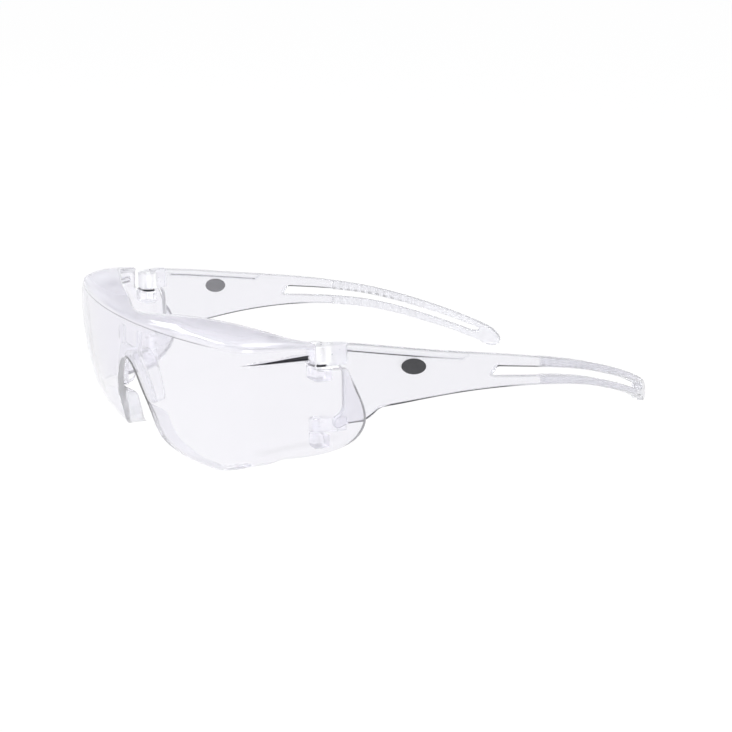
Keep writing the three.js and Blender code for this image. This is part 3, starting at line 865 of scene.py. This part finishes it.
def shadow_line(nodes, y, z, line, thickness, start, fade):
    low, high = ([(a, b + lift) for a, b in line] for lift in (-thickness / 2, thickness / 2))
    return shade_band(nodes, y, z, low, high, start, fade)


def outer_shadows(nodes, y, z):
    """Painted shade: the side groove's floor, the thin line under the brow and a faint soft patch low on the
    shield.
    """
    foot = [(GROOVE_Y[0], GROOVE_TIP_Z), (GROOVE_Y[1], GROOVE_TIP_Z + GROOVE_FOOT_RISE)]
    top = [(GROOVE_Y[0], GROOVE_TIP_Z + 0.1), (GROOVE_Y[1], GROOVE_TIP_Z + GROOVE_TOP_RISE)]
    end = (GROOVE_Y[1] - 0.2, GROOVE_Y[1] + 0.2)
    groove = shade_band(nodes, y, z, foot, top, (GROOVE_Y[0] - 1, GROOVE_Y[0]), end)
    brow = shadow_line(nodes, y, z, [(-15, BROW_LINE_Z), (-5, BROW_LINE_Z)], 0.25, (-16, -15), (-10, -6))
    # A faint, wide-edged patch of painted shade low on the shield.
    low_shade = shade_band(nodes, y, z, [(-2, 10), (28, 13.5)], [(-2, 11.5), (28, 16)], (-2, 5), (20, 30), edge=1.2)
    faint = nodes.maths("ADD", nodes.maths("MULTIPLY", brow, 0.75), nodes.maths("MULTIPLY", low_shade, 0.1))
    return nodes.maths("MAXIMUM", groove, faint)


def edge_shadows(nodes, y, z):
    """Painted shade on the front part of the cut edge round the nose, and along the side shields' lower rear
    outline.
    """
    rise = nodes.maths("SUBTRACT", z, LENS_FLAT_HEIGHT * MM)
    recede = nodes.maths("MULTIPLY", nodes.maths("MULTIPLY", rise, rise), LENS_RECEDE / MM)
    depth = nodes.maths("SUBTRACT", y, recede)
    front = nodes.ramp(depth, (NOSE_EDGE_Y + SHIFT_Y) * MM, (NOSE_EDGE_Y + 0.6 + SHIFT_Y) * MM, 1, 0)
    nose = nodes.maths("MULTIPLY", front, nodes.ramp(z, 6 * MM, 16 * MM, 0.3, 1))
    shield = nodes.ramp(y, (6 + SHIFT_Y) * MM, (10 + SHIFT_Y) * MM, 0, 0.7)
    outline = nodes.maths("MULTIPLY", shield, nodes.ramp(z, 30 * MM, 34 * MM, 1, 0))
    return nodes.maths("MAXIMUM", nose, outline)


# Painted shade lines along the temple's edges: where each runs as (y, z), and where along y it fades.
TEMPLE_EDGE_LINES = [
    ([(31, 18.2), (37, 18.35)], (37, 37.4)),
    ([(37, 18.35), (41.4, 21.2)], (41.2, 41.6)),
    ([(41.4, 21.2), (45.5, 22.1)], (45.3, 45.7)),
    ([(45.5, 22.2), (56, 22.7)], (55.8, 56.2)),
    ([(56, 22.7), (72, 23.15)], (71.8, 72.2)),
    ([(72, 23.15), (86, 22.75)], (85.8, 86.2)),
    ([(86, 22.75), (98, 21.7)], (88, 99)),
    ([(85, 30.1), (104, 26.95)], (100, 106)),
]
EDGE_LINE_THICKNESS = 0.55


def temple_shadows(nodes, y, z):
    """Painted shade lines under the bead, along the lower edge and along the top of the slot."""
    mask = shadow_line(nodes, y, z, [(34, 41.1), (71.5, 34.1)], 0.4, (30.5, 31.5), (50, 72))
    for line, fade in TEMPLE_EDGE_LINES:
        start = (line[0][0] - 0.2, line[0][0] + 0.2)
        dark_line = shadow_line(nodes, y, z, line, EDGE_LINE_THICKNESS, start, fade)
        mask = nodes.maths("MAXIMUM", mask, dark_line)
    return mask


def knuckle_shadows(nodes, y, z):
    """A painted shade line round the foot of the upper knuckle."""
    return shadow_line(nodes, y, z, [(19, 38.0), (25, 38.0)], 0.8, (19, 20), (23, 24))


def rib_shadows(nodes, y, z):
    """Painted shade: faint stripes along the ribs, and a dark dash at each one's end by the slot."""
    turns = nodes.maths("MULTIPLY_ADD", y, 2 * math.pi / (RIB_PITCH * MM),
                        -2 * math.pi * (GRIP_START_Y + SHIFT_Y) / RIB_PITCH)
    stripe = nodes.ramp(nodes.maths("COSINE", turns), -0.3, 0.5, 1, 0)
    ends = nodes.ramp(y, (RIBS_END_Y + SHIFT_Y) * MM, (RIBS_END_Y + RIBS_FADE + SHIFT_Y) * MM, 1, 0)
    ribbed = nodes.maths("MULTIPLY", stripe, ends)
    front = shadow_line(nodes, y, z, [(104, 27.1), (122.6, 23.0)], 0.9, (103, 104), (122, 123))
    rear = shadow_line(nodes, y, z, [(122.6, 23.0), (139.5, 17.5)], 0.9, (122, 123), (125, 141))
    dashes = nodes.maths("MULTIPLY", nodes.maths("MAXIMUM", front, rear), 0.6)
    return nodes.maths("MULTIPLY", ribbed, nodes.maths("ADD", dashes, 0.1))


def clear_plastic(name, tint, roughness, clarity, bump=0.02, wear_scale=900.0, ior=1.58,
                  dark=None, seen=(1.0, 0.0)):
    """Clear moulded plastic: a slight haze, faint flow marks, a fine polish and a light shadow.

    clarity is the share of light let through: one value, or pairs of a height and a share. dark
    gives a mask of painted shade, mixed into the colour as dark lines and patches, and seen how much
    of it shows from the air and from within the plastic.
    """
    material = bpy.data.materials.new(name)
    nodes = Nodes(material)
    place = nodes.new("ShaderNodeTexCoord").outputs["Object"]
    split = nodes.new("ShaderNodeSeparateXYZ", {"Vector": place})
    wear = nodes.new("ShaderNodeTexNoise", {"Vector": place, "Scale": wear_scale, "Detail": 3})
    polish = nodes.new("ShaderNodeMapRange", {
        "Value": wear.outputs["Fac"], "To Min": roughness[0], "To Max": roughness[1],
    })
    flow = nodes.new("ShaderNodeTexNoise", {"Vector": place, "Scale": 60})
    lift = nodes.new("ShaderNodeBump", {"Height": flow.outputs["Fac"], "Strength": bump, "Distance": 0.001})
    stops = clarity if isinstance(clarity, list) else [(0, clarity), (CLARITY_SPAN, clarity)]
    level = nodes.maths("DIVIDE", split.outputs["Z"], CLARITY_SPAN * MM)
    ramp = nodes.new("ShaderNodeValToRGB", {"Fac": level})
    set_stops(ramp.color_ramp, [(height / CLARITY_SPAN, [share] * 3) for height, share in stops])
    through = ramp.outputs["Color"]
    facing = nodes.new("ShaderNodeLayerWeight", {"Blend": 0.5}).outputs["Facing"]
    colour = nodes.new("ShaderNodeMixRGB", {
        "Fac": nodes.ramp(facing, 0.55, 1.0), "Color1": (*tint, 1),
        "Color2": (*(value * GRAZING_SHARE for value in tint), 1),
    }).outputs["Color"]
    # Painted shade: where the dark mask is set, the colour goes towards the painted shade colour and less
    # light comes through.
    if dark:
        within = nodes.new("ShaderNodeNewGeometry").outputs["Backfacing"]
        strength = nodes.maths("MULTIPLY_ADD", within, seen[1] - seen[0], seen[0])
        mask = nodes.maths("MULTIPLY", dark(nodes, split.outputs["Y"], split.outputs["Z"]), strength)
        colour = nodes.new("ShaderNodeMixRGB", {
            "Fac": mask, "Color1": colour, "Color2": (*PAINTED_SHADE_COLOUR, 1),
        }).outputs["Color"]
        through = nodes.maths("MULTIPLY", through, nodes.maths("SUBTRACT", 1.0, mask))
    shader = nodes.new("ShaderNodeBsdfPrincipled", {
        "Base Color": colour, "Transmission Weight": through, "IOR": ior,
        "Roughness": polish.outputs["Result"], "Normal": lift.outputs["Normal"],
    })
    see_through = nodes.new("ShaderNodeBsdfTransparent", {
        "Color": (*(0.5 + 0.5 * value for value in tint), 1),
    })
    choose = nodes.new("ShaderNodeMixShader", {
        "Fac": nodes.new("ShaderNodeLightPath").outputs["Is Shadow Ray"],
        1: shader.outputs["BSDF"], 2: see_through.outputs["BSDF"],
    })
    nodes.new("ShaderNodeOutputMaterial", {"Surface": choose.outputs["Shader"]})
    return material


def ink(name, colour):
    """Matte printed ink with a slightly uneven film."""
    material = bpy.data.materials.new(name)
    nodes = Nodes(material)
    place = nodes.new("ShaderNodeTexCoord").outputs["Object"]
    noise = nodes.new("ShaderNodeTexNoise", {"Vector": place, "Scale": 700})
    ramp = nodes.new("ShaderNodeValToRGB", {"Fac": noise.outputs["Fac"]})
    for stop, share in zip(ramp.color_ramp.elements, INK_UNEVENNESS):
        stop.color = (*(value * share for value in colour), 1)
    shader = nodes.new("ShaderNodeBsdfPrincipled", {"Base Color": ramp.outputs["Color"], "Roughness": 0.45})
    nodes.new("ShaderNodeOutputMaterial", {"Surface": shader.outputs["BSDF"]})
    return material


# ---- Pieces ----

wall_finish = dict(tint=WALL_TINT, roughness=(0.02, 0.05), clarity=BROW_CLARITY)
clear_outer = clear_plastic("clear_outer_wall", **wall_finish, dark=outer_shadows)
clear_inner = clear_plastic("clear_inner_wall", **wall_finish)
clear_edge = clear_plastic("clear_edge", (0.9, 0.9, 0.92), (0.15, 0.25), 0.75,
                           dark=edge_shadows, seen=(0.25, 1))
bracket = clear_plastic("clear_bracket", (0.95, 0.95, 0.965), (0.2, 0.3), 0.85, ior=1.3)
arm_outer = clear_plastic("clear_temple", ARM_TINT, (0.0, 0.05), 0.93, dark=temple_shadows)
arm_inner = clear_plastic("clear_temple_inside", ARM_TINT, (0.0, 0.05), 0.93)
arm_edge = clear_plastic("clear_temple_edge", EDGE_TINT, (0.15, 0.25), 0.6, dark=temple_shadows)
knuckle = clear_plastic("clear_knuckle", (0.97, 0.97, 0.98), (0.25, 0.32), 0.88, ior=1.35,
                        dark=knuckle_shadows)
soft = clear_plastic("clear_bridge", (0.94, 0.94, 0.955), (0.03, 0.1), 0.98, ior=1.12)
soft_edge = clear_plastic("clear_bridge_edge", (0.9, 0.9, 0.915), (0.05, 0.15), 0.93, ior=1.12)
frosted = clear_plastic("frosted_grip", (0.92, 0.92, 0.935), (0.25, 0.45), 0.6, bump=0.1, ior=1.45,
                        dark=rib_shadows, seen=(0, 1))
pin_plastic = clear_plastic("hinge_pin", (0.97, 0.97, 0.98), (0.02, 0.1), 0.8)
dark_ink = ink("dark_ink", (0.05, 0.05, 0.055))
shield_materials = (clear_edge, clear_outer, clear_inner, bracket)
temple_materials = (arm_edge, arm_outer, arm_inner, knuckle)

pieces = [
    (front_shield(*shield_materials), "front", "front_shield", "clear_shield"),
    (nose_bridge(soft_edge, soft), "front", "nose_bridge", "clear_bridge"),
]
for side_name, side in (("left", 1), ("right", -1)):
    body = f"{side_name}_temple"
    arm = temple(f"clear_temple_{side_name}", side, *temple_materials)
    grip = temple_grip(f"ribbed_grip_{side_name}", side, frosted)
    mark = printed_mark(f"oval_mark_{side_name}", side, dark_ink)
    pieces += [
        (arm, body, f"temple_{side_name}", "clear_temple"),
        (grip, body, f"temple_grip_{side_name}", "frosted_grip"),
        (mark, body, f"printed_mark_{side_name}", "dark_ink"),
    ]
    for level, (bottom, top) in (
        ("upper", (UPPER_BRACKET[0] + PIN_FOOT, UPPER_KNUCKLE[1] - UPPER_PIN_SHORT)),
        ("lower", (LOWER_BRACKET[0] + PIN_FOOT, LOWER_KNUCKLE[1] - LOWER_PIN_SHORT)),
    ):
        pin = hinge_pin(f"pin_{level}_{side_name}", side, bottom, top, pin_plastic)
        pieces.append((pin, "front", f"{level}_hinge_pin_{side_name}", "hinge_pin"))
for piece, body, node, slot in pieces:
    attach(piece, body)
    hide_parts(node)


# ---- Studio ----

FLOOR_RADIUS = 6.0
FLOOR_DROP = 0.0002  # keeps the floor just below the faces that rest on it
FLOOR_COLOUR = (0.06, 0.06, 0.06)
FLOOR_GLOW = 0.97
SKY = [  # from the horizon up to overhead
    (0.0, (0.9, 0.91, 0.93)), (0.2, (0.8, 0.81, 0.84)), (0.35, (0.35, 0.35, 0.38)),
    (0.5, (0.05, 0.05, 0.06)), (0.7, (0.03, 0.03, 0.04)), (0.85, (0.3, 0.3, 0.33)), (1.0, (0.9, 0.9, 0.95)),
]


def pale_floor():
    mesh = bpy.data.meshes.new("floor")
    r = FLOOR_RADIUS
    mesh.from_pydata([(-r, -r, 0), (r, -r, 0), (r, r, 0), (-r, r, 0)], [], [(0, 1, 2, 3)])
    floor = bpy.data.objects.new("floor", mesh)
    floor.location.z = -FLOOR_DROP
    bpy.context.scene.collection.objects.link(floor)
    material = bpy.data.materials.new("floor")
    material.use_nodes = True
    shader = material.node_tree.nodes["Principled BSDF"]
    shader.inputs["Base Color"].default_value = (*FLOOR_COLOUR, 1)
    shader.inputs["Roughness"].default_value = 1.0
    shader.inputs["Specular IOR Level"].default_value = 0.0
    shader.inputs["Emission Color"].default_value = (1, 1, 1, 1)
    shader.inputs["Emission Strength"].default_value = FLOOR_GLOW
    mesh.materials.append(material)


def studio_sky():
    """A white tent near the horizon, darker above it and light again overhead."""
    world = bpy.data.worlds.new("studio")
    bpy.context.scene.world = world
    world.use_nodes = True
    nodes, links = world.node_tree.nodes, world.node_tree.links
    place = nodes.new("ShaderNodeTexCoord")
    split = nodes.new("ShaderNodeSeparateXYZ")
    ramp = nodes.new("ShaderNodeValToRGB")
    set_stops(ramp.color_ramp, SKY)
    links.new(place.outputs["Generated"], split.inputs["Vector"])
    links.new(split.outputs["Z"], ramp.inputs["Fac"])
    links.new(ramp.outputs["Color"], nodes["Background"].inputs["Color"])
    nodes["Background"].inputs["Strength"].default_value = 1.0


def soft_box(name, place, target, size, power):
    light = bpy.data.lights.new(name, "AREA")
    light.shape = "RECTANGLE"
    light.size, light.size_y = size
    light.energy = power
    lamp = bpy.data.objects.new(name, light)
    lamp.location = place
    lamp.rotation_mode = "QUATERNION"
    lamp.rotation_quaternion = (Vector(target) - Vector(place)).to_track_quat("-Z", "Y")
    bpy.context.scene.collection.objects.link(lamp)


CAMERA_FROM_HINGE = Vector((502.9, -283.5)) * MM
CAMERA_HEIGHT = 191.9 * MM
CAMERA_BACK = Vector((0.8275, -0.4976, 0.26)).normalized()
CAMERA_ROLL = math.radians(-0.39)
SENSOR = 36.0
FOCAL_LENGTH = 93.4426


def product_camera():
    """Looks at the spectacles from the wearer's front left, a little above them."""
    near_hinge = hinges["left_temple"]["pos_m"]
    camera = bpy.data.cameras.new("camera")
    camera.sensor_width = SENSOR
    camera.lens = FOCAL_LENGTH
    camera.clip_start, camera.clip_end = 0.01, 50
    holder = bpy.data.objects.new("camera", camera)
    level = Vector((0, 0, 1)).cross(CAMERA_BACK).normalized()
    upright = CAMERA_BACK.cross(level)
    right = level * math.cos(CAMERA_ROLL) + upright * math.sin(CAMERA_ROLL)
    above = CAMERA_BACK.cross(right)
    turn = Matrix((right, above, CAMERA_BACK)).transposed()
    place = Vector((near_hinge[0] + CAMERA_FROM_HINGE.x, near_hinge[1] + CAMERA_FROM_HINGE.y, CAMERA_HEIGHT))
    holder.matrix_world = Matrix.Translation(place) @ turn.to_4x4()
    bpy.context.scene.collection.objects.link(holder)
    bpy.context.scene.camera = holder


pale_floor()
studio_sky()
soft_box("overhead", (0.1, -0.1, 0.9), (0, 0, 0), (0.5, 0.5), 3.8)
soft_box("front_right", (-0.75, -0.45, 0.65), (0, 0, 0.03), (0.8, 0.1), 2.5)
soft_box("front_left", (0.9, -0.9, 0.5), (0, 0, 0.02), (0.6, 0.4), 4)
product_camera()

view_settings = bpy.context.scene.view_settings
view_settings.view_transform = "Standard"
cycles = bpy.context.scene.cycles
cycles.max_bounces = 32
cycles.transmission_bounces = 32
cycles.glossy_bounces = 8
cycles.transparent_max_bounces = 32
